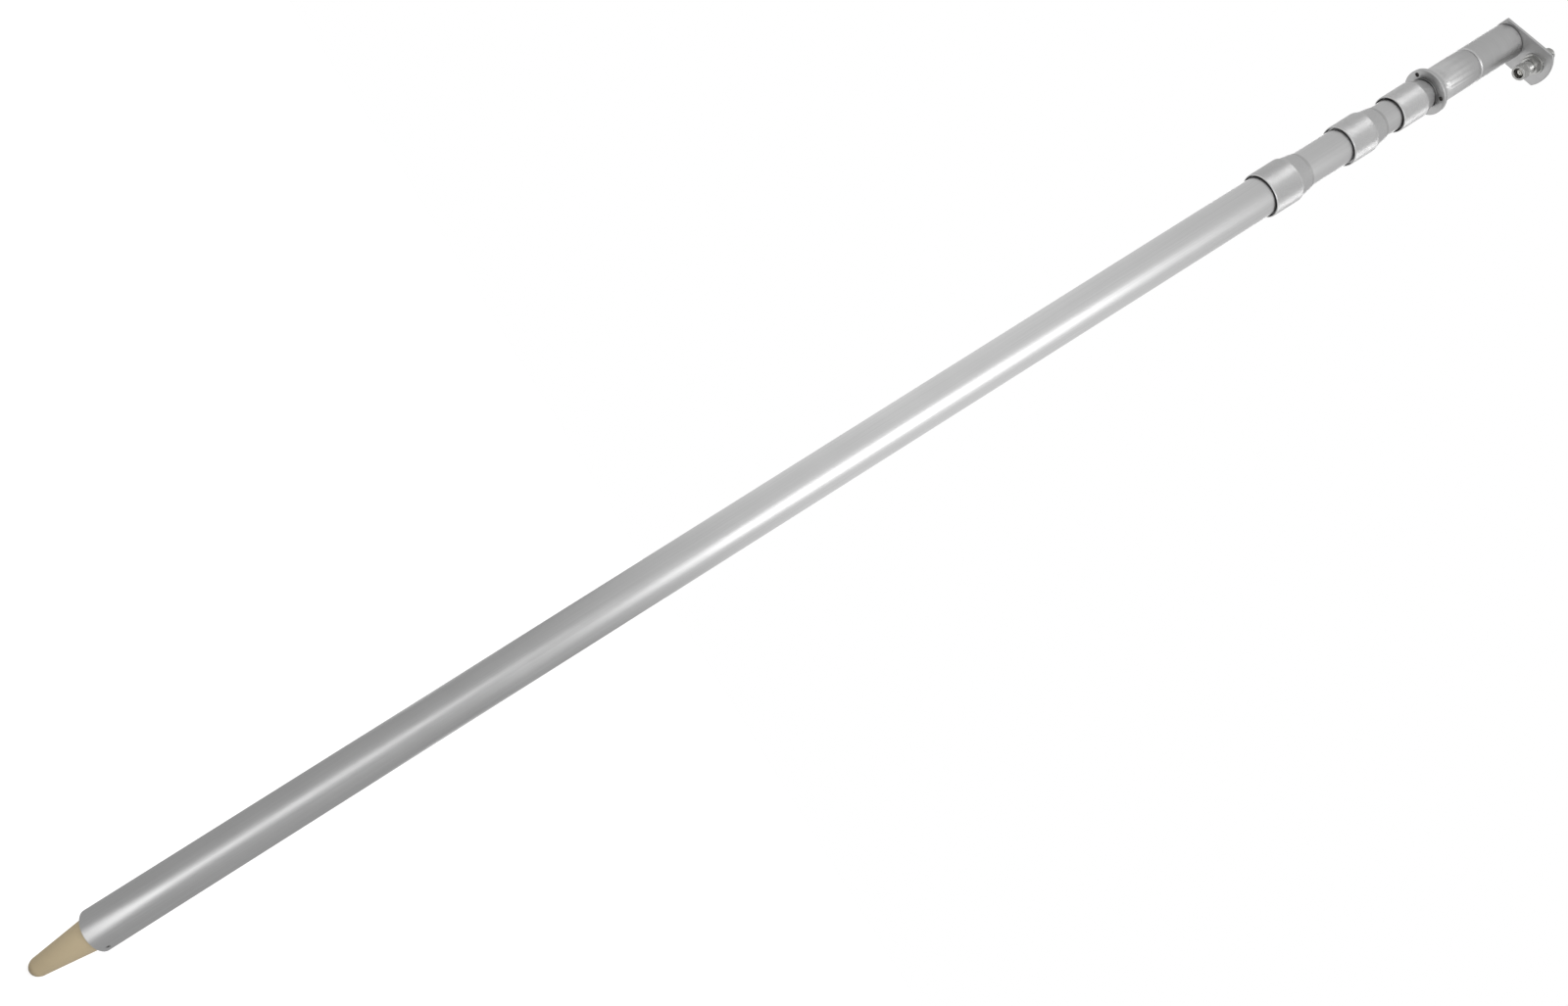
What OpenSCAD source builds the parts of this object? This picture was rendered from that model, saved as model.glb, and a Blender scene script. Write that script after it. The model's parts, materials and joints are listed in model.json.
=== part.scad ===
// Telescopic aluminium mast with twist collars, shown closed up.
// The mast stands along +Z. The origin is the centre of the lower tube's bottom rim,
// and the lug of the head plate points along +X.

/* [Tubes] */
// Outside diameter of the lower tube
lower_tube_d = 50; // [46:0.5:70]
// Wall of every tube
tube_wall = 2; // [1.5:0.1:2.5]
// Radial gap between a tube and the tube inside it
nest_gap = 0.5; // [0.4:0.05:1]
// Length of the lower tube
lower_tube_len = 1566; // [800:1:2400]
// How much longer the second tube's top end stands above the lower tube's
second_step = 115.6; // [85:0.1:200]
// How much higher the third tube's top end stands than the second tube's
third_step = 83.2; // [78:0.1:200]

/* [Foot] */
// Width of the open ring between the foot plug and the lower tube's bore at the rim
plug_rim = 2.8; // [1:0.1:6]
// Diameter of the foot plug just above its rounded tip
plug_tip_d = 22.6; // [12:0.1:28]
// Length of the foot plug below the lower tube's rim
plug_drop = 75; // [50:1:150]
// Height of the foot plug's top face inside the lower tube
plug_top = 36; // [25:1:80]
// Depth of the open ring between the foot plug and the lower tube's rim
plug_recess = 4; // [2:0.5:8]
// Gap between the foot plug and the lower tube's bore
plug_gap = 0.05; // [0.02:0.01:0.2]
// Diameter of the two screws that hold the foot plug
foot_screw_d = 5; // [3:0.5:8]
// Height of those screws above the rim
foot_screw_z = 9; // [8:0.5:20]
// Angle of the first screw round the mast
foot_screw_turn = -11.6; // [-180:0.1:180]

/* [Twist collars] */
// Wall of a collar outside its bore
collar_wall = 1.7; // [1.2:0.1:3]
// Radial gap between a tube and the bore of its collar at the lip
lip_gap = 1.9; // [1.6:0.1:3]
// Length of the first collar's grip
first_grip_len = 40; // [34:0.5:60]
// Length of the second collar's grip
second_grip_len = 36.5; // [34:0.5:60]
// Length of the third collar's grip
third_grip_len = 38.5; // [32:0.5:60]
// How far the first and second grips reach past the tube's end
grip_past = 11.5; // [9:0.5:14]
// How far the third grip reaches past the tube's end
short_grip_past = 8; // [6:0.5:10]
// Length of the smooth taper above the grip of the first and second collars
nose_len = 15.5; // [10:0.5:30]
// Length of the smooth taper above the grip of the third collar
short_nose_len = 11; // [8:0.5:30]
// How far the clamp ring shows above the first and second collars
tip_len = 4; // [2:0.5:8]
// How far the clamp ring shows above the third collar
short_tip_len = 2.2; // [1:0.1:5]
// Length of the thread ring on a tube's end
thread_ring_len = 21; // [12:0.5:24]
// Depth of the turned seat that the thread ring sits on
seat_cut = 0.4; // [0.2:0.1:0.8]
// Chamfer on the lip and on the top edge of the grip
grip_chamfer = 1; // [0.4:0.1:1.4]
// Width of the slit that lets a clamp ring close
clamp_slit = 2; // [1:0.5:4]

/* [Guy ring] */
// How far the flange that the guys hook into stands out from the sleeve
flange_reach = 6.65; // [5.8:0.05:30]
// Thickness of that flange
guy_flange_t = 5; // [3:0.5:10]
// Number of guy holes
guy_hole_count = 3; // [3:1:6]
// Diameter of a guy hole
guy_hole_d = 5.5; // [4:0.5:7]
// Distance of a guy hole's centre from the flange's rim
guy_hole_inset = 5.5; // [5:0.5:6.5]
// Angle of the first guy hole round the mast
guy_turn = -25; // [-180:0.1:180]
// Length of the guy ring's sleeve above the flange
guy_sleeve_len = 59; // [40:0.5:100]
// Length of the waist that leaves room for hooks at the holes
guy_waist_len = 9; // [4:0.5:20]
// How much narrower in radius that waist is than the sleeve
guy_waist_cut = 2.2; // [1:0.1:2.8]
// Gap between the guy ring and the head tube
guy_seam = 0.8; // [0.5:0.1:2]
// Thickness of the stop ring that carries the guy ring
stop_ring_t = 1.8; // [1:0.1:3]

/* [Head] */
// Wall of the head tube
head_wall = 5.05; // [4:0.05:12]
// Length of the head tube
head_tube_len = 64; // [30:0.5:120]
// Thickness of the head plate
plate_t = 3; // [2:0.5:10]
// How far the head plate stands out on both sides of the head tube
plate_side = 2.9; // [0.5:0.1:8]
// Radius of the head plate's round end
plate_end_r = 41; // [34:0.5:60]
// Distance from the socket's axis to the head plate's end
plate_past_socket = 22.2; // [16:0.1:40]
// Slant of the head plate's back edge
plate_back_slant = 20.6; // [0:0.1:25]

/* [Aerial socket] */
// Distance from the head tube's side to the socket's axis
socket_reach = 21.4; // [16:0.1:40]
// Diameter of the socket's threaded barrel
socket_d = 16; // [12:0.1:22]
// Wall of the barrel round its open ends
socket_wall = 1.6; // [1.2:0.1:2]
// Depth of those bores
socket_bore_depth = 12; // [6:0.5:16]
// Length of the barrel below the plate
socket_drop = 23.5; // [22:0.5:60]
// Length of the barrel above the plate
socket_rise = 22.5; // [14:0.1:60]
// Diameter of the insulator
insulator_d = 7.2; // [5:0.1:8]
// Diameter of the centre contact
contact_d = 3.6; // [2:0.1:4.5]
// Distance from a barrel end to the insulator's face
insulator_recess = 3; // [1:0.5:6]
// Width of the washers on both faces of the plate, from bore to rim
washer_width = 5.45; // [3:0.05:8]
// Thickness of those washers
washer_t = 1.5; // [1:0.1:3]
// Wall of the nuts at the middle of a flat
nut_wall = 2.45; // [1.5:0.05:5]
// Thickness of the nuts
nut_t = 5; // [3:0.5:8]
// Wall of the lock ring round the barrel's lower end
lock_ring_wall = 1.35; // [0.8:0.05:4]
// Length of the lock ring
lock_ring_len = 9; // [5:0.5:14]
// Length of the turned relief in the thread beside each nut
relief_len = 1; // [0.5:0.1:2]
// Depth of that relief
relief_cut = 0.5; // [0.2:0.1:0.8]

/* [Hidden] */

// Smallest overlap that makes two cuts or two solids run together
eps = 0.01;
// Gap between faces that rest on each other on different bodies
rest_gap = 0.3;
// Radial gap of a ring that is pushed on a tube
push_gap = 0.05;
// Radial gap of what turns or slides on a tube
run_gap = 0.3;
// Wall of a collar at the very end of its taper
nose_wall = 0.9;
// Radial gap between a clamp ring and the bore of its collar
clamp_gap = 0.5;
// Radial gap between a clamp ring and the tube that it grips
grip_gap = 0.25;
// Wall of a clamp ring at its upper end
tip_wall = 0.65;
// Depth that a foot screw's face lies under the tube's surface
screw_sink = 0.15;
// Depth that a foot screw reaches into the plug
screw_depth = 8;
// How far the stop ring sits in its groove
groove_depth = 0.4;
// How far the stop ring stands out from the top tube
stop_ring_stand = 2;
// Distance from the top of the third clamp ring to the stop ring
stop_ring_clear = 1;
// Edge break on tubes, flange and plate
edge_break = 0.5;
// Gap between the top tube's end and the head plate
head_end_gap = 4;
// Length of the cone between the guy ring's waist and its sleeve
waist_cone_len = 5;
// Distance from the clamp ring's shoulder up to the top of the grip
clamp_shoulder = 2.5;
// Height of the closed foot under the slit of a clamp ring
slit_foot = 3;
// Depth of the hex recess in a foot screw
hex_depth = 1.5;
// How far the centre contact stands out of the insulator
contact_stand = 1;
// Depth of the holes in the ends of the centre contact
contact_hole_depth = 8;
// How far a cutting solid runs past the solid that it cuts
cut_past = 1;

metal = "silver";
dark_metal = "gray";
bright_metal = "gainsboro";
plug_colour = "tan";

// The four tubes, from the lower one up
step_d = 2 * (tube_wall + nest_gap);
tube_d = [for (i = [0:3]) lower_tube_d - i * step_d];
tube_base = [0, plug_top + rest_gap, plug_top + rest_gap, plug_top + rest_gap];
tube_end = [
    lower_tube_len,
    lower_tube_len + second_step,
    lower_tube_len + second_step + third_step
];

// The three collars, from the lower one up
grip = [first_grip_len, second_grip_len, third_grip_len];
past = [grip_past, grip_past, short_grip_past];
nose = [nose_len, nose_len, short_nose_len];
tip = [tip_len, tip_len, short_tip_len];
function lip_z(i) = tube_end[i] + past[i] - grip[i];
function bore_r(i) = tube_d[i] / 2 + lip_gap;
function nose_r(i) = tube_d[i + 1] / 2 + grip_gap + tip_wall + clamp_gap + nose_wall;

// Foot plug, where it leaves the lower tube
plug_d = lower_tube_d - 2 * (tube_wall + plug_rim);

// Guy ring and head, from the top tube outwards
head_d = tube_d[3] + 2 * (push_gap + head_wall);
guy_flange_d = head_d + 2 * flange_reach;
guy_hole_r = guy_flange_d / 2 - guy_hole_inset;
plate_w = head_d + 2 * plate_side;

// Aerial socket, from its barrel outwards
socket_x = head_d / 2 + socket_reach;
socket_hole_r = socket_d / 2 + push_gap;
socket_bore_d = socket_d - 2 * socket_wall;
plate_reach = socket_x + plate_past_socket;

// Heights of guy ring, head and socket, from the third clamp ring up
stop_z = lip_z(2) + grip[2] + nose[2] + tip[2] + stop_ring_clear;
guy_z = stop_z + stop_ring_t + rest_gap;
head_z = guy_z + guy_flange_t + guy_sleeve_len + guy_seam;
plate_z = head_z + head_tube_len;
socket_low = plate_z - socket_drop;
socket_high = plate_z + plate_t + socket_rise;

// A solid turned about the mast's axis from points [radius, height]
module turned(points) {
    rotate_extrude($fn = 96)
        polygon(points);
}

// A round tube between two heights, with its outer edges broken
module tube(d, wall, z0, z1) {
    r = d / 2;
    turned([
        [r - wall, z0], [r - edge_break, z0], [r, z0 + edge_break],
        [r, z1 - edge_break], [r - edge_break, z1], [r - wall, z1]
    ]);
}

// A plain ring between two radii and two heights
module ring(r_in, r_out, z0, z1) {
    turned([[r_in, z0], [r_out, z0], [r_out, z1], [r_in, z1]]);
}

// A tube with the turned seat for its thread ring at the top
module mast_tube(i) {
    r = tube_d[i] / 2;
    seat_z = tube_end[i] - thread_ring_len - edge_break;
    difference() {
        tube(tube_d[i], tube_wall, tube_base[i], tube_end[i]);
        ring(r - seat_cut, r + eps, seat_z, tube_end[i] + eps);
    }
}

// The threaded ring on a tube's end, which its collar turns on
module thread_ring(i) {
    r = tube_d[i] / 2 - seat_cut + push_gap;
    ring(r, bore_r(i) - run_gap, tube_end[i] - thread_ring_len, tube_end[i]);
}

// The split ring that a collar presses on the tube inside it
module clamp_ring(i) {
    r = tube_d[i + 1] / 2 + grip_gap;
    z0 = tube_end[i] + push_gap;
    z_grip = lip_z(i) + grip[i];
    z_nose = z_grip + nose[i];
    difference() {
        turned([
            [r, z0],
            [bore_r(i) - clamp_gap, z0],
            [bore_r(i) - clamp_gap, z_grip - clamp_shoulder],
            [nose_r(i) - nose_wall - clamp_gap, z_nose - edge_break],
            [r + tip_wall, z_nose + tip[i]],
            [r, z_nose + tip[i]]
        ]);
        translate([-tube_d[i], -clamp_slit / 2, z0 + slit_foot])
            cube([tube_d[i], clamp_slit, grip[i] + nose[i]]);
    }
}

// The twist collar: a grip with a chamfered lip and a smooth taper above it
module collar(i) {
    z0 = lip_z(i);
    z1 = z0 + grip[i];
    z2 = z1 + nose[i];
    r_in = bore_r(i);
    r_out = r_in + collar_wall;
    c = grip_chamfer;
    turned([
        [r_in, z0], [r_out - c, z0], [r_out, z0 + c],
        [r_out, z1 - c], [r_out - c / 2, z1],
        [nose_r(i), z2], [nose_r(i) - nose_wall, z2],
        [r_in, z1 - c]
    ]);
}

module lower_tube() {
    color(metal)
        difference() {
            mast_tube(0);
            foot_screw_pair(foot_screw_d / 2 + push_gap, 2 * screw_depth);
        }
}

// Two round pegs through the lower tube's wall, sunk in its surface
module foot_screw_pair(r, depth) {
    for (side = [0, 180])
        rotate([0, 0, foot_screw_turn + side])
            translate([lower_tube_d / 2 - screw_sink - screw_depth, 0, foot_screw_z])
                rotate([0, 90, 0])
                    cylinder(h = depth, r = r, $fn = 48);
}

// The tapered foot plug with its rounded tip, drilled for its screws
module foot_plug() {
    r_bore = lower_tube_d / 2 - tube_wall - plug_gap;
    r_tip = plug_tip_d / 2;
    color(plug_colour)
        difference() {
            union() {
                turned([
                    [0, r_tip - plug_drop], [r_tip, r_tip - plug_drop],
                    [plug_d / 2, plug_recess], [r_bore, plug_recess],
                    [r_bore, plug_top], [0, plug_top]
                ]);
                translate([0, 0, r_tip - plug_drop])
                    sphere(r = r_tip, $fn = 64);
            }
            foot_screw_pair(foot_screw_d / 2 + push_gap, 2 * screw_depth);
        }
}

// The two screws, each with a hex recess
module foot_screws() {
    color(dark_metal)
        difference() {
            foot_screw_pair(foot_screw_d / 2, screw_depth);
            for (side = [0, 180])
                rotate([0, 0, foot_screw_turn + side])
                    translate([lower_tube_d / 2 - screw_sink - hex_depth, 0, foot_screw_z])
                        rotate([0, 90, 0])
                            cylinder(h = 2 * hex_depth, d = foot_screw_d / 2, $fn = 6);
        }
}

module second_tube() {
    color(metal) mast_tube(1);
}

module third_tube() {
    color(metal) mast_tube(2);
}

// The innermost tube, with a groove for the stop ring
module top_tube() {
    r = tube_d[3] / 2;
    color(metal)
        difference() {
            tube(tube_d[3], tube_wall, tube_base[3], plate_z - head_end_gap);
            ring(r - groove_depth, r + eps, stop_z, stop_z + stop_ring_t);
        }
}

// The split ring in the top tube's groove that carries the guy ring
module stop_ring() {
    r = tube_d[3] / 2;
    color(dark_metal)
        difference() {
            ring(r - groove_depth + push_gap, r + stop_ring_stand,
                 stop_z + push_gap, stop_z + stop_ring_t - push_gap);
            translate([0, -clamp_slit, stop_z - cut_past])
                cube([tube_d[3], 2 * clamp_slit, stop_ring_t + 2 * cut_past]);
        }
}

// Flange with guy holes and the sleeve above it, free to turn on the top tube
module guy_ring() {
    r_in = tube_d[3] / 2 + run_gap;
    r_out = head_d / 2;
    z1 = guy_z + guy_flange_t;
    z_waist = z1 + guy_waist_len;
    z2 = z1 + guy_sleeve_len;
    color(metal)
        difference() {
            turned([
                [r_in, guy_z], [guy_flange_d / 2 - edge_break, guy_z],
                [guy_flange_d / 2, guy_z + edge_break],
                [guy_flange_d / 2, z1 - edge_break],
                [guy_flange_d / 2 - edge_break, z1],
                [r_out - guy_waist_cut, z1], [r_out - guy_waist_cut, z_waist],
                [r_out, z_waist + waist_cone_len],
                [r_out, z2 - edge_break], [r_out - edge_break, z2], [r_in, z2]
            ]);
            for (i = [0:guy_hole_count - 1])
                rotate([0, 0, guy_turn + i * 360 / guy_hole_count])
                    translate([guy_hole_r, 0, guy_z - cut_past])
                        cylinder(h = guy_flange_t + 2 * cut_past, d = guy_hole_d, $fn = 48);
        }
}

// The thick sleeve fixed round the top tube's end
module head_tube() {
    r_in = tube_d[3] / 2 + push_gap;
    r_out = head_d / 2;
    color(metal)
        turned([
            [r_in, head_z], [r_out - edge_break, head_z], [r_out, head_z + edge_break],
            [r_out, plate_z], [r_in, plate_z]
        ]);
}

// Outline of the head plate: a strip with a round end and a slanted back edge
module plate_outline() {
    end_x = plate_reach - plate_end_r;
    intersection() {
        union() {
            translate([end_x, 0])
                circle(r = plate_end_r, $fn = 128);
            translate([-plate_reach, -plate_w / 2])
                square([plate_reach + end_x, plate_w]);
        }
        translate([-plate_reach, -plate_w / 2])
            square([2 * plate_reach, plate_w]);
        rotate(plate_back_slant)
            translate([-head_d / 2, -2 * plate_reach])
                square([3 * plate_reach, 4 * plate_reach]);
    }
}

module head_plate() {
    color(metal)
        translate([0, 0, plate_z])
            difference() {
                linear_extrude(height = plate_t)
                    plate_outline();
                translate([socket_x, 0, -cut_past])
                    cylinder(h = plate_t + 2 * cut_past, r = socket_hole_r, $fn = 64);
            }
}

// A ring about the socket's axis between two radii and two heights
module socket_ring(r_in, r_out, z0, z1) {
    translate([socket_x, 0, 0])
        ring(r_in, r_out, z0, z1);
}

// The barrel, open at both ends, with the insulator's hole in its web
module socket_barrel() {
    r = socket_d / 2;
    r_relief = r - relief_cut;
    z_under = plate_z - washer_t - nut_t;
    z_over = plate_z + plate_t + washer_t + nut_t;
    r_bore = socket_bore_d / 2;
    r_web = insulator_d / 2 + push_gap;
    z0 = socket_low + socket_bore_depth;
    z1 = socket_high - socket_bore_depth;
    color(bright_metal)
        translate([socket_x, 0, 0])
            turned([
                [r_bore, socket_low], [r - edge_break, socket_low],
                [r, socket_low + edge_break], [r, z_under - relief_len],
                [r_relief, z_under - relief_len], [r_relief, z_under],
                [r, z_under], [r, z_over], [r_relief, z_over],
                [r_relief, z_over + relief_len], [r, z_over + relief_len],
                [r, socket_high - edge_break],
                [r - edge_break, socket_high], [r_bore, socket_high],
                [r_bore, z1], [r_web, z1], [r_web, z0], [r_bore, z0]
            ]);
}

// One insulator right through the web, with a hole for the contact
module socket_insulators() {
    color("white")
        socket_ring(contact_d / 2 + push_gap, insulator_d / 2,
                    socket_low + insulator_recess, socket_high - insulator_recess);
}

// The centre contact, a sleeve open at both ends
module socket_contacts() {
    z0 = socket_low + insulator_recess - contact_stand;
    z1 = socket_high - insulator_recess + contact_stand;
    color(bright_metal)
        difference() {
            translate([socket_x, 0, z0])
                cylinder(h = z1 - z0, d = contact_d, $fn = 48);
            for (z = [z0 - cut_past, z1 - contact_hole_depth])
                translate([socket_x, 0, z])
                    cylinder(h = contact_hole_depth + cut_past, d = contact_d / 2, $fn = 32);
        }
}

module socket_washers() {
    r_out = socket_hole_r + washer_width;
    color(bright_metal) {
        socket_ring(socket_hole_r, r_out, plate_z - washer_t, plate_z);
        socket_ring(socket_hole_r, r_out, plate_z + plate_t, plate_z + plate_t + washer_t);
    }
}

// A hexagon nut on the socket's barrel with its lower face at z0
module socket_nut(z0) {
    translate([socket_x, 0, z0])
        difference() {
            cylinder(h = nut_t, r = (socket_hole_r + nut_wall) / cos(30), $fn = 6);
            translate([0, 0, -cut_past])
                cylinder(h = nut_t + 2 * cut_past, r = socket_hole_r, $fn = 64);
        }
}

module socket_nuts() {
    color(bright_metal) {
        socket_nut(plate_z - washer_t - nut_t);
        socket_nut(plate_z + plate_t + washer_t);
    }
}

module socket_lock_ring() {
    color(bright_metal)
        socket_ring(socket_hole_r, socket_hole_r + lock_ring_wall,
                    socket_low, socket_low + lock_ring_len);
}

lower_tube();
foot_plug();
foot_screws();
color(dark_metal) thread_ring(0);  // thread_ring_1
color(dark_metal) clamp_ring(0);  // clamp_ring_1
color(bright_metal) collar(0);  // collar_1
second_tube();
color(dark_metal) thread_ring(1);  // thread_ring_2
color(dark_metal) clamp_ring(1);  // clamp_ring_2
color(bright_metal) collar(1);  // collar_2
third_tube();
color(dark_metal) thread_ring(2);  // thread_ring_3
color(dark_metal) clamp_ring(2);  // clamp_ring_3
color(bright_metal) collar(2);  // collar_3
top_tube();
stop_ring();
head_tube();
head_plate();
socket_barrel();
socket_insulators();
socket_contacts();
socket_washers();
socket_nuts();
socket_lock_ring();
guy_ring();
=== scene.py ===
"""Looks of a telescopic aluminium mast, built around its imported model."""

import json
import math

import bpy
from mathutils import Matrix, Vector


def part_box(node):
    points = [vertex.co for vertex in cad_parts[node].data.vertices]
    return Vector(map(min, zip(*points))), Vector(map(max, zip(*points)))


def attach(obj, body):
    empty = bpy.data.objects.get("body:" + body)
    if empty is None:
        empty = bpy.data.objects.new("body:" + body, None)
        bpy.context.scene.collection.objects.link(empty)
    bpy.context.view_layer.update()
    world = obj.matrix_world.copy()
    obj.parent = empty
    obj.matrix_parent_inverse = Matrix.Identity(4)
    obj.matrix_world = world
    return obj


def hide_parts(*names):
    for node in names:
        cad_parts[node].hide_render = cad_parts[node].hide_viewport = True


bl_info = {
    "name": "Telescopic mast",
    "version": (1, 0, 0),
    "blender": (4, 5, 0),
    "location": "3D View > Sidebar > Mast",
    "description": "Grained twist collars, aerial socket, head plate and finishes of a telescopic mast",
    "category": "Object",
}

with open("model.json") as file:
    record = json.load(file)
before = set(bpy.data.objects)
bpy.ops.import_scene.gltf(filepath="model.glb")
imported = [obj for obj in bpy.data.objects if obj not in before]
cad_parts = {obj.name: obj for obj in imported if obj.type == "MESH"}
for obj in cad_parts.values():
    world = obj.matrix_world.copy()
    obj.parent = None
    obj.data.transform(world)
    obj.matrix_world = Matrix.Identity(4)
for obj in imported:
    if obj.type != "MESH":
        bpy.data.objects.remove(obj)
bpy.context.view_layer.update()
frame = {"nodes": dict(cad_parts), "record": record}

MM = 0.001
# Points closer together than WELD are one point; heights and radii closer than NEAR are the same.
WELD = 0.001 * MM
NEAR = 0.02 * MM
COLLARS = {
    "collar_1": "lower_collar",
    "collar_2": "second_collar",
    "collar_3": "third_collar",
}


def linear(code):
    """An sRGB hex colour as linear red, green, blue and alpha."""
    channels = [int(code[i : i + 2], 16) / 255 for i in (1, 3, 5)]
    return [c / 12.92 if c <= 0.04045 else ((c + 0.055) / 1.055) ** 2.4 for c in channels] + [1.0]


def length(name, description, default_mm):
    """A length setting whose default is given in millimetres."""
    return bpy.props.FloatProperty(
        name=name, description=description, default=default_mm * MM, min=0, unit="LENGTH", precision=5
    )


def colour(name, description, code):
    """A colour setting whose default is an sRGB hex colour."""
    return bpy.props.FloatVectorProperty(
        name=name, description=description, default=linear(code), size=4, subtype="COLOR", min=0, max=1
    )


class CollarSettings(bpy.types.PropertyGroup):
    """Sizes of the grain that is rolled into the twist collars."""

    pitch: length("Grain pitch", "Distance between the grain's points round the collar", 1.1)
    depth: length("Grain depth", "Height of a point above the grooves", 0.39)
    lean: bpy.props.FloatProperty(
        name="Groove angle", description="Angle between a groove and the mast", default=math.radians(33),
        subtype="ANGLE",
    )
    lip: length("Lip", "Plain rim at both ends of the grain", 1.1)


class SocketSettings(bpy.types.PropertyGroup):
    """Sizes of the aerial socket's thread, nuts and lock ring."""

    pitch: length("Thread pitch", "Distance from crest to crest of the barrel's thread", 1.06)
    depth: length("Thread depth", "Depth of the barrel's thread", 0.3)
    nut_chamfer: length("Nut chamfer", "Chamfer on the corners of the nuts", 1.0)
    flutes: bpy.props.IntProperty(name="Flutes", description="Flutes round the lock ring", default=30, min=8)
    flute_depth: length("Flute depth", "Depth of the lock ring's flutes", 0.5)


class GuyRingSettings(bpy.types.PropertyGroup):
    """Size of the guy ring's edges."""

    edge: length("Edge radius", "Rounding on the guy ring's edges and at its holes", 0.25)


class PlateSettings(bpy.types.PropertyGroup):
    """Sizes of the head plate's edges."""

    edge: length("Edge radius", "Rounding on the head plate's edges; the washers have half of it", 0.6)
    seam_cone: length("Seam cone", "Height of the slight cone at the head tube's lower end, at the seam", 1.6)
    groove: length("Groove", "Height and depth of the turned groove under the plate", 1.0)


class FinishSettings(bpy.types.PropertyGroup):
    """Colours of the mast's finishes."""

    tube: colour("Tubes", "Clear anodised, drawn aluminium", "#CECECE")
    head: colour("Head", "Clear anodised, turned aluminium", "#C6C6C6")
    grip: colour("Grips", "Bright anodised, grained aluminium", "#D4D4D4")
    clamp: colour("Clamp rings", "Plain turned aluminium that shows above the collars", "#BABABA")
    thread: colour("Thread rings", "Greased aluminium thread inside the collars' lips", "#D4D4D4")
    # The guy-hole colour is painted shade: a dark tone for the hole walls, where shade falls inside the
    # holes.
    hole: colour("Guy holes", "Painted shade on the walls of the guy holes", "#4A4846")
    plated: colour("Socket", "Nickel plated brass", "#C8C8C6")
    steel: colour("Screws", "Zinc plated steel", "#B0B0B0")
    contact: colour("Contact", "Silver plated contact", "#E2E2DE")
    insulator: colour("Insulator", "White insulator", "#E9E7E0")
    plastic: colour("Foot", "Moulded foot plug", "#C6B594")


class StageSettings(bpy.types.PropertyGroup):
    """Place of the camera and strength of the lamps."""

    distance: length("Camera distance", "Level distance from the mast to the camera", 1282.8)
    height: length("Camera height", "Height of the camera above the lower tube's rim", 717.9)
    aside: length("Camera offset", "How far the camera stands to the right of the mast", 6.1)
    turn: bpy.props.FloatProperty(
        name="Camera turn", description="Angle of the camera round the mast", default=math.radians(20.65),
        subtype="ANGLE",
    )
    pitch: bpy.props.FloatProperty(
        name="Camera pitch", description="Angle by which the camera looks up", default=math.radians(6.16),
        subtype="ANGLE",
    )
    slope: bpy.props.FloatProperty(
        name="Mast slope", description="Slope of the mast in the camera's view", default=math.radians(32.28),
        subtype="ANGLE",
    )
    lens: bpy.props.FloatProperty(
        name="Lens", description="Focal length of the camera in millimetres", default=26.17,
        subtype="DISTANCE_CAMERA",
    )
    key_power: bpy.props.FloatProperty(
        name="Key lamp", description="Power of the softbox in watts", default=13.0, min=0
    )
    card_power: bpy.props.FloatProperty(
        name="Front cards", default=3.9, min=0,
        description="Power of the reflector cards before the mast in watts per square metre",
    )
    back_power: bpy.props.FloatProperty(
        name="Back card", default=14.0, min=0,
        description="Power of the reflector card behind the mast in watts",
    )
    overhead_power: bpy.props.FloatProperty(
        name="Overhead lamp", default=18.0, min=0,
        description="Power of the lamp above and behind the mast in watts",
    )


# ---------------------------------------------------------------- modelling


def start_piece():
    """Leaves edit mode and deselects everything, so that an operator acts on its own piece only."""
    if bpy.context.object and bpy.context.object.mode != "OBJECT":
        bpy.ops.object.mode_set(mode="OBJECT")
    bpy.ops.object.select_all(action="DESELECT")


def make_active(piece):
    """Makes a piece the selected and active one."""
    piece.select_set(True)
    bpy.context.view_layer.objects.active = piece


def lathe(name, points, sides, x=0.0):
    """A closed ring about an upright axis at x, extruded from circle to circle.

    points are the [radius, height] corners of its outline.
    """
    start_piece()
    radius, height = points[0]
    bpy.ops.mesh.primitive_circle_add(vertices=sides, radius=radius, location=(x, 0, height))
    piece = bpy.context.object
    piece.name = name
    bpy.ops.object.transform_apply(location=True, rotation=False, scale=False)
    bpy.ops.object.mode_set(mode="EDIT")
    bpy.ops.mesh.select_all(action="SELECT")
    for next_radius, next_height in points[1:] + points[:1]:
        rise = (0, 0, next_height - height)
        bpy.ops.mesh.extrude_region_move(TRANSFORM_OT_translate={"value": rise})
        grow = next_radius / radius
        bpy.ops.transform.resize(value=(grow, grow, 1), center_override=(x, 0, next_height))
        radius, height = next_radius, next_height
    bpy.ops.mesh.select_all(action="SELECT")
    bpy.ops.mesh.remove_doubles(threshold=WELD)
    bpy.ops.mesh.normals_make_consistent(inside=False)
    bpy.ops.object.mode_set(mode="OBJECT")
    return piece


def arc(radius, height, size, start, end, steps=4):
    """Points [radius, height] along an arc about a point, between two angles in degrees."""
    turns = [math.radians(start + (end - start) * i / steps) for i in range(steps + 1)]
    return [[radius + size * math.cos(a), height + size * math.sin(a)] for a in turns]


def select_vertices(piece, wanted):
    """Selects the vertices whose place passes a test, and stays in edit mode."""
    bpy.ops.object.mode_set(mode="EDIT")
    bpy.ops.mesh.select_mode(type="VERT")
    bpy.ops.mesh.select_all(action="DESELECT")
    bpy.ops.object.mode_set(mode="OBJECT")
    for vertex in piece.data.vertices:
        vertex.select = wanted(vertex.co)
    bpy.ops.object.mode_set(mode="EDIT")


def finish_piece(piece, body, nodes, angle=30):
    """Smooths a piece, puts its origin in its place and hangs it on its body in place of its nodes."""
    start_piece()
    make_active(piece)
    bpy.ops.object.shade_smooth_by_angle(angle=math.radians(angle))
    bpy.ops.object.transform_apply(location=True, rotation=True, scale=True)
    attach(piece, body)
    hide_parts(*nodes)


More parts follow.
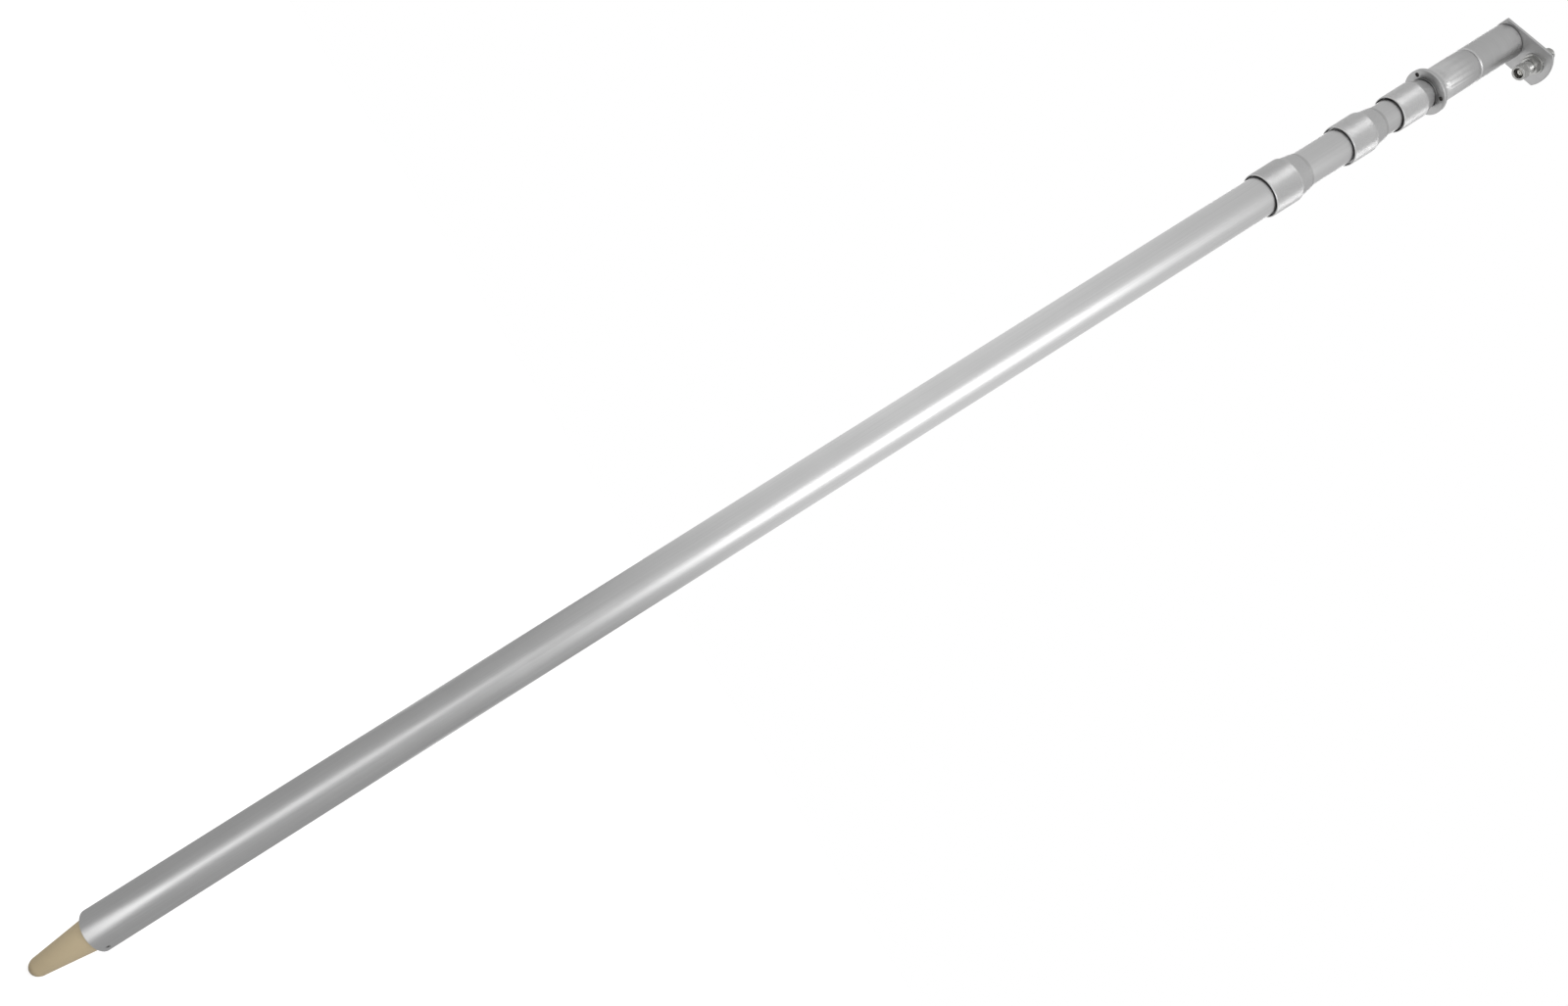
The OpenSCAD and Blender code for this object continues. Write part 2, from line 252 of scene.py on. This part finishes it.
def ring_radii(node, height, x=0.0):
    """Smallest and largest radius of a CAD node's points at one height."""
    radii = [
        math.hypot(v.co.x - x, v.co.y)
        for v in frame["nodes"][node].data.vertices
        if abs(v.co.z - height) < NEAR
    ]
    return min(radii), max(radii)


def node_heights(node):
    """The heights of a CAD node's points, from the lowest up."""
    return sorted({round(v.co.z, 5) for v in frame["nodes"][node].data.vertices})


class MAST_OT_twist_collars(bpy.types.Operator):
    """Model the grained twist collars."""

    bl_idname = "mast.twist_collars"
    bl_label = "Twist collars"

    def execute(self, context):
        settings = context.scene.mast_collars
        for node, body in COLLARS.items():
            piece = self.collar(node, settings)
            finish_piece(piece, body, [node], angle=25)
        return {"FINISHED"}

    def collar(self, node, settings):
        """A grip with a diamond grain, a rounded lip and a smooth taper."""
        low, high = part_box(node)
        outer = high.x
        vertices = frame["nodes"][node].data.vertices
        grip = [v.co.z for v in vertices if math.hypot(v.co.x, v.co.y) > outer - NEAR]
        chamfer = min(grip) - low.z
        grip_top = max(grip) + chamfer
        bore = ring_radii(node, low.z)[0]
        nose_bore, nose = ring_radii(node, high.z)
        base = outer - settings.depth

        # An even number of teeth puts a point on every second vertex of the circle.
        teeth = 2 * round(math.pi * outer / settings.pitch)
        sides = 2 * teeth
        first = low.z + settings.lip
        last = grip_top - settings.lip
        step = math.pi * outer / teeth / math.tan(settings.lean)
        rows = 2 * round((last - first) / step / 2)
        step = (last - first) / rows

        round_bore = 0.8 * MM
        round_lip = 0.5 * MM
        round_top = 0.9 * MM
        points = arc(bore + round_bore, low.z + round_bore, round_bore, 180, 270, 4)
        points += arc(base - round_lip, low.z + round_lip, round_lip, 270, 360, 3)
        points += [[base, first + i * step] for i in range(rows + 1)]
        points += arc(base - round_top, grip_top - round_top, round_top, 0, 60, 4)
        points += [[base - round_top, grip_top]]
        points += arc(nose - round_lip, high.z - round_lip, round_lip, 30, 90, 2)
        points += [[nose_bore, high.z], [bore, grip_top - chamfer]]
        piece = lathe(node.replace("collar", "grained_collar"), points, sides)

        def is_point(co):
            row = round((co.z - first) / step)
            column = round(math.atan2(co.y, co.x) / math.pi * teeth)
            on_grip = math.hypot(co.x, co.y) > base - NEAR and 0 < row < rows
            return on_grip and (row + column) % 2 == 1

        def is_grain(co):
            return first - NEAR < co.z < last + NEAR and math.hypot(co.x, co.y) > (bore + base) / 2

        select_vertices(piece, is_point)
        grow = outer / base
        bpy.ops.transform.resize(value=(grow, grow, 1), center_override=(0, 0, 0))
        select_vertices(piece, is_grain)
        bpy.ops.mesh.quads_convert_to_tris(quad_method="SHORTEST_DIAGONAL")
        bpy.ops.object.mode_set(mode="OBJECT")
        return piece


class MAST_OT_aerial_socket(bpy.types.Operator):
    """Model the aerial socket's threaded barrel, its nuts and its lock ring."""

    bl_idname = "mast.aerial_socket"
    bl_label = "Aerial socket"

    def execute(self, context):
        settings = context.scene.mast_socket
        body = "top_section"
        finish_piece(self.barrel(settings), body, ["socket_barrel"])
        finish_piece(self.nuts(settings), body, ["socket_nuts"])
        finish_piece(self.lock_ring(settings), body, ["socket_lock_ring"])
        return {"FINISHED"}

    def barrel(self, settings):
        """A barrel with a thread all along it, a bore at each end and the insulator's hole in its web."""
        low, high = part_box("socket_barrel")
        x = (low.x + high.x) / 2
        radius = (high.x - low.x) / 2
        bore = ring_radii("socket_barrel", low.z, x)[0]
        heights = node_heights("socket_barrel")
        inner = {z: ring_radii("socket_barrel", z, x)[0] for z in heights}
        shoulder = 0.1 * MM
        web = [z for z in heights if inner[z] < bore - shoulder]
        # At the relief grooves the barrel has no points on its bore, so the smallest radius is the groove's.
        reliefs = [z for z in heights if bore + shoulder < inner[z] < radius - shoulder]
        root = radius - settings.depth
        mouth = 0.4 * MM
        points = [[bore, low.z + mouth], [bore + mouth, low.z], [root, low.z]]
        ends = [low.z + settings.depth] + reliefs + [high.z - settings.depth]
        for start, end in zip(ends[0::2], ends[1::2]):
            turns = round((end - start) / settings.pitch)
            pitch = (end - start) / turns
            flat = pitch / 16
            points += [[root, start]]
            for turn in range(turns):
                crest = start + (turn + 0.5) * pitch
                points += [[radius, crest - flat], [radius, crest + flat], [root, start + (turn + 1) * pitch]]
        points += [[root, high.z], [bore + mouth, high.z], [bore, high.z - mouth]]
        points += [[bore, web[-1]], [inner[web[-1]], web[-1]], [inner[web[0]], web[0]], [bore, web[0]]]
        return lathe("threaded_barrel", points, 64, x)

    def nuts(self, settings):
        """Two hexagon nuts whose corners are turned off at both faces."""
        low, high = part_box("socket_nuts")
        x = (low.x + high.x) / 2
        corner = (high.x - low.x) / 2
        heights = node_heights("socket_nuts")
        bore = ring_radii("socket_nuts", heights[0], x)[0]
        cut = settings.nut_chamfer
        mouth = 0.3 * MM
        past_face = 1 * MM
        made = []
        for z0, z1 in (heights[:2], heights[2:]):
            # The cones pass the corners halfway, so each corner loses half the cut in height.
            profile = [
                [bore, z0 + mouth], [bore + mouth, z0], [corner - cut, z0], [corner + cut, z0 + cut],
                [corner + cut, z1 - cut], [corner - cut, z1], [bore + mouth, z1], [bore, z1 - mouth],
            ]
            turning = lathe("nut_turning", profile, 96, x)
            start_piece()
            bpy.ops.mesh.primitive_cylinder_add(
                vertices=6, radius=corner, depth=z1 - z0 + 2 * past_face, location=(x, 0, (z0 + z1) / 2),
                rotation=(0, 0, math.radians(30)),
            )
            prism = bpy.context.object
            start_piece()
            make_active(turning)
            cutter = turning.modifiers.new("Hexagon", "BOOLEAN")
            cutter.operation = "INTERSECT"
            cutter.solver = "EXACT"
            cutter.object = prism
            bpy.ops.object.modifier_apply(modifier=cutter.name)
            bpy.data.objects.remove(prism, do_unlink=True)
            made.append(turning)
        start_piece()
        for nut in made:
            nut.select_set(True)
        make_active(made[0])
        bpy.ops.object.join()
        made[0].name = "hexagon_nuts"
        return made[0]

    def lock_ring(self, settings):
        """A ring with straight flutes all round."""
        low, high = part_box("socket_lock_ring")
        x = (low.x + high.x) / 2
        outer = (high.x - low.x) / 2
        bore = ring_radii("socket_lock_ring", low.z, x)[0]
        rim = 0.8 * MM
        edge = 0.4 * MM
        points = [
            [bore, low.z], [outer - edge, low.z], [outer, low.z + edge], [outer, low.z + rim],
            [outer, low.z + rim + edge], [outer, high.z - rim - edge], [outer, high.z - rim],
            [outer, high.z - edge], [outer - edge, high.z], [bore, high.z],
        ]
        sides = 4 * settings.flutes
        piece = lathe("fluted_lock_ring", points, sides, x)

        def is_flute(co):
            column = round(math.atan2(co.y, co.x - x) / (2 * math.pi) * sides)
            inside = low.z + rim + NEAR < co.z < high.z - rim - NEAR
            return inside and column % 4 == 0 and math.hypot(co.x - x, co.y) > outer - NEAR

        select_vertices(piece, is_flute)
        shrink = 1 - settings.flute_depth / outer
        bpy.ops.transform.resize(value=(shrink, shrink, 1), center_override=(x, 0, 0))
        bpy.ops.object.mode_set(mode="OBJECT")
        return piece


def rounded_copy(node, name, width):
    """A copy of a CAD node's shape with its sharp edges rounded."""
    start_piece()
    source = frame["nodes"][node]
    piece = bpy.data.objects.new(name, source.data.copy())
    bpy.context.scene.collection.objects.link(piece)
    make_active(piece)
    bpy.ops.object.mode_set(mode="EDIT")
    bpy.ops.mesh.select_all(action="SELECT")
    bpy.ops.mesh.remove_doubles(threshold=WELD)
    bpy.ops.mesh.dissolve_limited(angle_limit=math.radians(1))
    bpy.ops.object.mode_set(mode="OBJECT")
    bevel = piece.modifiers.new("Edges", "BEVEL")
    bevel.width = width
    bevel.segments = 3
    bevel.limit_method = "ANGLE"
    bevel.angle_limit = math.radians(40)
    bpy.ops.object.modifier_apply(modifier=bevel.name)
    return piece


class MAST_OT_guy_ring(bpy.types.Operator):
    """Model the guy ring with rounded edges."""

    bl_idname = "mast.guy_ring"
    bl_label = "Guy ring"

    def execute(self, context):
        ring = rounded_copy("guy_ring", "rounded_guy_ring", context.scene.mast_guy_ring.edge)
        finish_piece(ring, "guy_swivel", ["guy_ring"])
        return {"FINISHED"}


class MAST_OT_head_plate(bpy.types.Operator):
    """Model the head tube, the head plate and the washers with rounded edges."""

    bl_idname = "mast.head_plate"
    bl_label = "Head plate"

    def execute(self, context):
        settings = context.scene.mast_plate
        edge = settings.edge
        low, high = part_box("head_tube")
        bore = ring_radii("head_tube", low.z)[0]
        cone_cut = settings.seam_cone * math.tan(math.radians(20))
        seam_top = low.z + cone_cut + settings.seam_cone
        groove = high.x - settings.groove
        points = [
            [bore, low.z], [high.x - 2 * cone_cut, low.z], [high.x - cone_cut, low.z + cone_cut],
            [high.x, seam_top], [high.x, high.z - settings.groove],
            [groove, high.z - settings.groove], [groove, high.z], [bore, high.z],
        ]
        tube = lathe("turned_head_tube", points, 128)
        finish_piece(tube, "top_section", ["head_tube"], angle=12)
        plate = rounded_copy("head_plate", "rounded_head_plate", edge)
        finish_piece(plate, "top_section", ["head_plate"])
        washers = rounded_copy("socket_washers", "rounded_washers", edge / 2)
        finish_piece(washers, "top_section", ["socket_washers"])
        return {"FINISHED"}


# ---------------------------------------------------------------- finishes


def add_node(tree, kind, options=None, values=None, links=None):
    """Adds a shader node, sets its options and socket values, and links other nodes' sockets to it."""
    made = tree.nodes.new(kind)
    for key, value in (options or {}).items():
        setattr(made, key, value)
    for key, value in (values or {}).items():
        made.inputs[key].default_value = value
    for key, socket in (links or {}).items():
        tree.links.new(socket, made.inputs[key])
    return made


def shade_of(base, factor):
    """The same colour made lighter or darker."""
    return [min(1.0, c * factor) for c in base[:3]] + [1.0]


def finish(name, base, grain_mm, drawn, tones, patch_mm, roughness, relief_mm):
    """A material with a fine grain in its tone and relief, and slow patches in its roughness.

    drawn is how far the grain is drawn out along X, Y and Z, tones and roughness are lowest and highest.
    """
    material = bpy.data.materials.new(name)
    material.use_nodes = True
    tree = material.node_tree
    shader = tree.nodes["Principled BSDF"]
    place = add_node(tree, "ShaderNodeTexCoord").outputs["Object"]
    along = add_node(tree, "ShaderNodeMapping", {}, {"Scale": [1 / d for d in drawn]}, {"Vector": place})
    noise = add_node(
        tree, "ShaderNodeTexNoise", {}, {"Scale": 1 / (grain_mm * MM), "Detail": 3.0},
        {"Vector": along.outputs[0]},
    )
    grain = add_node(
        tree, "ShaderNodeMapRange", {}, {"From Min": 0.3, "From Max": 0.7}, {"Value": noise.outputs["Fac"]}
    )
    tone = add_node(tree, "ShaderNodeMix", {"data_type": "RGBA"}, {}, {"Factor": grain.outputs[0]})
    # The two colour sockets of a Mix node share their names with its number sockets.
    tone.inputs[6].default_value = shade_of(base, tones[0])
    tone.inputs[7].default_value = shade_of(base, tones[1])
    tree.links.new(tone.outputs[2], shader.inputs["Base Color"])
    patches = add_node(
        tree, "ShaderNodeTexNoise", {}, {"Scale": 1 / (patch_mm * MM), "Detail": 2.0}, {"Vector": place}
    )
    sheen = add_node(
        tree, "ShaderNodeMapRange", {},
        {"From Min": 0.3, "From Max": 0.7, "To Min": roughness[0], "To Max": roughness[1]},
        {"Value": patches.outputs["Fac"]},
    )
    tree.links.new(sheen.outputs[0], shader.inputs["Roughness"])
    relief = add_node(
        tree, "ShaderNodeBump", {}, {"Strength": 0.2, "Distance": relief_mm * MM},
        {"Height": grain.outputs[0]},
    )
    tree.links.new(relief.outputs[0], shader.inputs["Normal"])
    return material


def metal(*details):
    """A finish on bare, plated or anodised metal."""
    material = finish(*details)
    material.node_tree.nodes["Principled BSDF"].inputs["Metallic"].default_value = 1.0
    return material


def drawn_aluminium(base):
    """Clear anodised aluminium tube, drawn through a die: satin, with fine lines along the tube.

    Die lines are about 0.1 mm wide; they are drawn 0.9 mm wide, so that they show.
    """
    return metal("anodised_drawn_aluminium", base, 0.9, (1, 1, 250), (0.95, 1.04), 60, (0.35, 0.41), 0.02)


def turned_aluminium(name, base):
    """Aluminium turned on a lathe: satin, with fine tool lines round the mast.

    A turning feed of 0.15 mm is drawn as 0.6 mm lines, so that it shows.
    """
    return metal(name, base, 0.6, (60, 60, 1), (0.95, 1.04), 40, (0.38, 0.46), 0.02)


def grained_aluminium(base):
    """Bright anodised aluminium with a rolled grain: small flanks that catch the light in many tones."""
    return metal("anodised_grained_aluminium", base, 1.2, (1, 1, 1), (0.93, 1.04), 15, (0.38, 0.44), 0.02)


def plated_metal(name, base, roughness):
    """Plated metal with a soft shine, dulled in patches of a few millimetres by handling."""
    return metal(name, base, 2.5, (1, 1, 1), (0.93, 1.04), 6, (roughness, roughness + 0.1), 0.01)


def moulded_plastic(name, base, roughness):
    """Moulded plastic with a fine eroded skin: a soft sheen that breaks up in a grain of 0.4 mm."""
    sheen = (roughness - 0.05, roughness + 0.05)
    material = finish(name, base, 0.4, (1, 1, 1), (0.95, 1.03), 25, sheen, 0.05)
    material.node_tree.nodes["Principled BSDF"].inputs["IOR"].default_value = 1.5
    return material


class MAST_OT_finishes(bpy.types.Operator):
    """Give every piece and every node its finish, and paint shade onto the walls of the guy holes."""

    bl_idname = "mast.finishes"
    bl_label = "Finishes"

    def execute(self, context):
        colours = context.scene.mast_finishes
        tube = drawn_aluminium(colours.tube)
        head = turned_aluminium("anodised_turned_aluminium", colours.head)
        grip = grained_aluminium(colours.grip)
        clamp = turned_aluminium("turned_clamp_aluminium", colours.clamp)
        thread = turned_aluminium("greased_thread_aluminium", colours.thread)
        plated = plated_metal("nickel_plated_brass", colours.plated, 0.28)
        steel = plated_metal("zinc_plated_steel", colours.steel, 0.3)
        contact = plated_metal("silver_plated_brass", colours.contact, 0.25)
        insulator = moulded_plastic("moulded_white_insulator", colours.insulator, 0.4)
        plastic = moulded_plastic("moulded_foot_plastic", colours.plastic, 0.5)
        finishes = {
            tube: ["lower_tube", "second_tube", "third_tube", "top_tube"],
            head: ["turned_head_tube", "rounded_guy_ring", "rounded_head_plate"],
            grip: ["grained_collar_1", "grained_collar_2", "grained_collar_3"],
            clamp: ["clamp_ring_1", "clamp_ring_2", "clamp_ring_3"],
            thread: ["thread_ring_1", "thread_ring_2", "thread_ring_3"],
            plated: ["threaded_barrel", "hexagon_nuts", "fluted_lock_ring", "rounded_washers"],
            steel: ["foot_screws", "stop_ring"],
            contact: ["socket_contacts"],
            insulator: ["socket_insulators"],
            plastic: ["foot_plug"],
        }
        for material, names in finishes.items():
            for name in names:
                piece = bpy.data.objects[name]
                piece.data.materials.clear()
                piece.data.materials.append(material)
        # The guy holes get a material of painted shade on their walls.
        self.paint_shade_in_guy_holes(turned_aluminium("greased_hole_aluminium", colours.hole))
        return {"FINISHED"}

    def paint_shade_in_guy_holes(self, material):
        """Paints shade onto the walls of the guy holes, a dark tone where shade falls inside them, so that
        they read as holes.
        """
        mount = next(m for m in frame["record"]["mounts"] if m["name"] == "guy_holes")
        circle = mount["dims"]["pcd_mm"] * MM / 2
        hole = mount["dims"]["hole_r_mm"] * MM
        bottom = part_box("guy_ring")[0].z
        top = 2 * mount["pos_m"][2] - bottom
        spare = 0.1 * MM
        mesh = bpy.data.objects["rounded_guy_ring"].data
        mesh.materials.append(material)
        # Upright faces around each hole's circle get the painted shade.
        for face in mesh.polygons:
            off_circle = abs(math.hypot(face.center.x, face.center.y) - circle)
            upright = abs(face.normal.z) < 0.5
            if upright and off_circle < hole + spare and bottom < face.center.z < top:
                face.material_index = 1


# ---------------------------------------------------------------- stage


def camera_axes(stage):
    """The camera's level right, its up along the mast, and its forward direction."""
    right = Vector((math.cos(stage.turn), math.sin(stage.turn), 0))
    away = Vector((-math.sin(stage.turn), math.cos(stage.turn), 0))
    up = Vector((0, 0, 1))
    forward = up * math.sin(stage.pitch) + away * math.cos(stage.pitch)
    upright = up * math.cos(stage.pitch) - away * math.sin(stage.pitch)
    return right, upright, forward


def around(stage, angle, distance, height):
    """A point at an angle to the right of the camera's direction, as seen from the mast."""
    turned = stage.turn + math.radians(angle)
    return Vector((math.sin(turned) * distance, -math.cos(turned) * distance, height))


def light_paths(tree):
    """Sockets that are 1 for what the camera sees itself, and for what it sees in or through a surface."""
    path = add_node(tree, "ShaderNodeLightPath").outputs
    reflected = add_node(
        tree, "ShaderNodeMath", {"operation": "ADD"}, {},
        {0: path["Is Glossy Ray"], 1: path["Is Transmission Ray"]},
    )
    return path["Is Camera Ray"], reflected.outputs[0]


def area_lamp(name, place, target, upright, size, power):
    """A soft rectangular lamp that faces a point, with its height along the upright direction."""
    data = bpy.data.lights.new(name, "AREA")
    data.shape = "RECTANGLE"
    data.size, data.size_y = size
    data.energy = power
    lamp = bpy.data.objects.new(name, data)
    bpy.context.scene.collection.objects.link(lamp)
    back = (place - target).normalized()
    side = upright.cross(back).normalized()
    axes = Matrix((side, back.cross(side), back)).transposed().to_4x4()
    lamp.matrix_world = Matrix.Translation(place) @ axes
    lamp.visible_camera = False


class MAST_OT_stage(bpy.types.Operator):
    """Set the floor, the lamps, the surround and the camera."""

    bl_idname = "mast.stage"
    bl_label = "Stage"

    def execute(self, context):
        stage = context.scene.mast_stage
        self.camera(context, stage)
        self.floor()
        self.surround(context.scene)
        self.lamps(stage)
        context.scene.view_settings.view_transform = "Standard"
        return {"FINISHED"}

    def camera(self, context, stage):
        """The camera in front of the mast, rolled so that the mast slopes in its view."""
        right, upright, forward = camera_axes(stage)
        data = bpy.data.cameras.new("camera")
        data.lens = stage.lens
        data.sensor_width = 36.0
        data.clip_start, data.clip_end = 0.05, 100.0
        camera = bpy.data.objects.new("camera", data)
        context.scene.collection.objects.link(camera)
        across = upright * math.cos(stage.slope) + right * math.sin(stage.slope)
        tall = upright * math.sin(stage.slope) - right * math.cos(stage.slope)
        away = Vector((forward.x, forward.y, 0)).normalized()
        place = right * stage.aside - away * stage.distance + Vector((0, 0, stage.height))
        axes = Matrix((across, tall, -forward)).transposed().to_4x4()
        camera.matrix_world = Matrix.Translation(place) @ axes
        context.scene.camera = camera

    def floor(self):
        """A wide pale floor under the foot, white to the camera, that keeps the mast's shadow."""
        start_piece()
        bpy.ops.mesh.primitive_plane_add(size=60, location=(0, 0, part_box("foot_plug")[0].z))
        floor = bpy.context.object
        floor.name = "floor"
        material = bpy.data.materials.new("painted_floor")
        material.use_nodes = True
        tree = material.node_tree
        shader = tree.nodes["Principled BSDF"]
        shader.inputs["Base Color"].default_value = linear("#A0A0A0")
        shader.inputs["Roughness"].default_value = 0.9
        shader.inputs["Emission Color"].default_value = linear("#FFFFFF")
        camera_glow = 0.8
        metal_glow = 0.04
        seen_by_camera, seen_by_metal = light_paths(tree)
        # The mast's metal sees a floor a little brighter than its paint; the camera sees it white.
        glow = add_node(
            tree, "ShaderNodeMath", {"operation": "MULTIPLY"}, {1: metal_glow}, {0: seen_by_metal}
        )
        seen = add_node(
            tree, "ShaderNodeMath", {"operation": "MULTIPLY_ADD"}, {1: camera_glow},
            {0: seen_by_camera, 2: glow.outputs[0]},
        )
        tree.links.new(seen.outputs[0], shader.inputs["Emission Strength"])
        floor.data.materials.append(material)

    def surround(self, scene):
        """White to the camera; in reflections a pale room that is brightest a little above level."""
        world = bpy.data.worlds.new("surround")
        scene.world = world
        world.use_nodes = True
        tree = world.node_tree
        direction = add_node(tree, "ShaderNodeTexCoord").outputs["Generated"]
        height = add_node(tree, "ShaderNodeSeparateXYZ", {}, {}, {0: direction}).outputs["Z"]
        share = add_node(
            tree, "ShaderNodeMapRange", {}, {"From Min": -1.0, "From Max": 1.0}, {"Value": height}
        ).outputs[0]
        walls = add_node(tree, "ShaderNodeValToRGB", {}, {}, {"Fac": share})
        steps = walls.color_ramp.elements
        steps[0].position, steps[0].color = 0.35, linear("#A8A8A8")
        steps[1].position, steps[1].color = 0.92, linear("#C8C8C8")
        for place, code in ((0.54, "#FFFFFF"), (0.68, "#FFFFFF"), (0.76, "#E4E4E4"), (0.84, "#B4B4B4")):
            steps.new(place).color = linear(code)
        seen_by_camera, seen_by_metal = light_paths(tree)
        strength = add_node(
            tree, "ShaderNodeMath", {"operation": "MULTIPLY_ADD"}, {},
            {0: seen_by_metal, 1: walls.outputs[0], 2: seen_by_camera},
        ).outputs[0]
        seen = add_node(
            tree, "ShaderNodeBackground", {}, {"Color": (1, 1, 1, 1)}, {"Strength": strength}
        ).outputs[0]
        # Scattered light comes from a plain white room.
        room = tree.nodes["Background"]
        room.inputs["Color"].default_value = linear("#FFFFFF")
        room.inputs["Strength"].default_value = 0.85
        shown = add_node(
            tree, "ShaderNodeMath", {"operation": "ADD"}, {}, {0: seen_by_metal, 1: seen_by_camera}
        ).outputs[0]
        mix = add_node(tree, "ShaderNodeMixShader", {}, {}, {0: shown, 1: room.outputs[0], 2: seen})
        tree.links.new(mix.outputs[0], tree.nodes["World Output"].inputs["Surface"])

    def lamps(self, stage):
        """A softbox right of the camera, cards on the floor before and behind the mast, a lamp overhead."""
        up = Vector((0, 0, 1))
        level = around(stage, 0, 1, 0)
        card_height = -0.07
        behind = around(stage, 180, 2.5, card_height)
        area_lamp("softbox", around(stage, 36, 2.0, 1.43), up, up, (1.3, 1.3), stage.key_power)
        # The front cards widen away from the mast, so the light line along it keeps its width.
        for name, away, width, depth in (("near_card", 0.42, 0.15, 0.6), ("far_card", 2.32, 0.5, 3.2)):
            before = around(stage, -1, away, card_height)
            area_lamp(name, before, before + up, level, (width, depth), stage.card_power * width * depth)
        area_lamp("back_card", behind, behind + up, level, (3.0, 2.4), stage.back_power)
        area_lamp("overhead_lamp", around(stage, 180, 1.4, 3.1), up, up, (1.4, 1.4), stage.overhead_power)


class MAST_PT_sidebar(bpy.types.Panel):
    """The mast's settings and steps."""

    bl_label = "Telescopic mast"
    bl_idname = "MAST_PT_sidebar"
    bl_space_type = "VIEW_3D"
    bl_region_type = "UI"
    bl_category = "Mast"

    def draw(self, context):
        for step, group in STEPS:
            box = self.layout.box()
            settings = getattr(context.scene, group)
            for name in settings.bl_rna.properties.keys():
                if name not in ("rna_type", "name"):
                    box.prop(settings, name)
            box.operator(step.bl_idname)


GROUPS = {
    "mast_collars": CollarSettings,
    "mast_socket": SocketSettings,
    "mast_guy_ring": GuyRingSettings,
    "mast_plate": PlateSettings,
    "mast_finishes": FinishSettings,
    "mast_stage": StageSettings,
}
STEPS = [
    (MAST_OT_twist_collars, "mast_collars"),
    (MAST_OT_aerial_socket, "mast_socket"),
    (MAST_OT_guy_ring, "mast_guy_ring"),
    (MAST_OT_head_plate, "mast_plate"),
    (MAST_OT_finishes, "mast_finishes"),
    (MAST_OT_stage, "mast_stage"),
]


def register():
    """Registers the settings, the steps and the sidebar."""
    for name, group in GROUPS.items():
        bpy.utils.register_class(group)
        setattr(bpy.types.Scene, name, bpy.props.PointerProperty(type=group))
    for step, _ in STEPS:
        bpy.utils.register_class(step)
    bpy.utils.register_class(MAST_PT_sidebar)


def unregister():
    """Takes out what register put in."""
    bpy.utils.unregister_class(MAST_PT_sidebar)
    for step, _ in reversed(STEPS):
        bpy.utils.unregister_class(step)
    for name, group in reversed(GROUPS.items()):
        delattr(bpy.types.Scene, name)
        bpy.utils.unregister_class(group)


def main():
    """Builds the whole mast."""
    register()
    bpy.ops.mast.twist_collars()
    bpy.ops.mast.aerial_socket()
    bpy.ops.mast.guy_ring()
    bpy.ops.mast.head_plate()
    bpy.ops.mast.finishes()
    bpy.ops.mast.stage()


if __name__ == "__main__":
    main()
